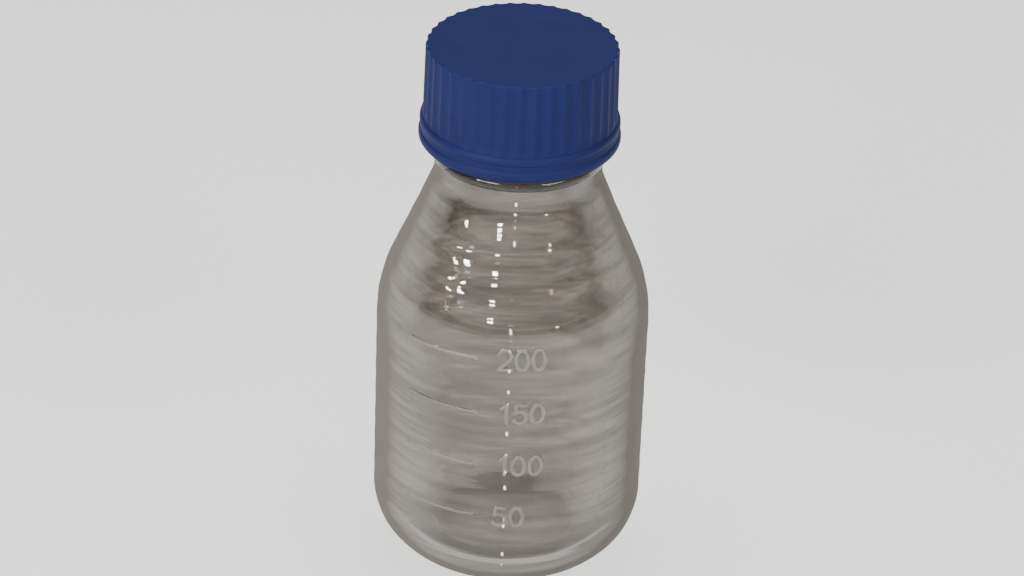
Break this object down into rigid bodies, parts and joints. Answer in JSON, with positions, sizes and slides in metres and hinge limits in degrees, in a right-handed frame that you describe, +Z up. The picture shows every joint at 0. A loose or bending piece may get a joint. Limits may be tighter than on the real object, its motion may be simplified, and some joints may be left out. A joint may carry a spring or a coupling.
{
  "type": "reagent bottle",
  "caption": "Clear glass laboratory reagent bottle with moulded volume marks, a threaded neck and a ribbed blue screw cap.",
  "frame": {"origin": "centre of the base, on the surface the bottle stands on", "axes": "+Z up the bottle's axis of rotation, towards the cap; -Y towards the side that carries the volume marks"},
  "size_m": [0.07, 0.07, 0.1428],
  "materials": {
    "glass": "clear polished",
    "ring_plastic": "satin moulded",
    "silicone": "matt",
    "cap_plastic": "satin moulded"
  },
  "bodies": {
    "bottle": {"glass_bottle": "glass", "pouring_ring": "ring_plastic"},
    "liner": {"seal_liner": "silicone"},
    "cap": {"screw_cap": "cap_plastic"}
  },
  "joints": [
    {"name": "cap_lift", "type": "slide", "parent": "bottle", "child": "liner", "axis": [0, 0, 1], "range_m": [0, 0.0281]},
    {"name": "cap_turn", "type": "hinge", "parent": "liner", "child": "cap", "pos_m": [0, 0, 0.117], "axis": [0, 0, 1], "range_deg": [0, 2520]}
  ],
  "couplings": [
    {"joint": "cap_lift", "follows": "cap_turn", "m_per_rad": 0.00063662}
  ]
}
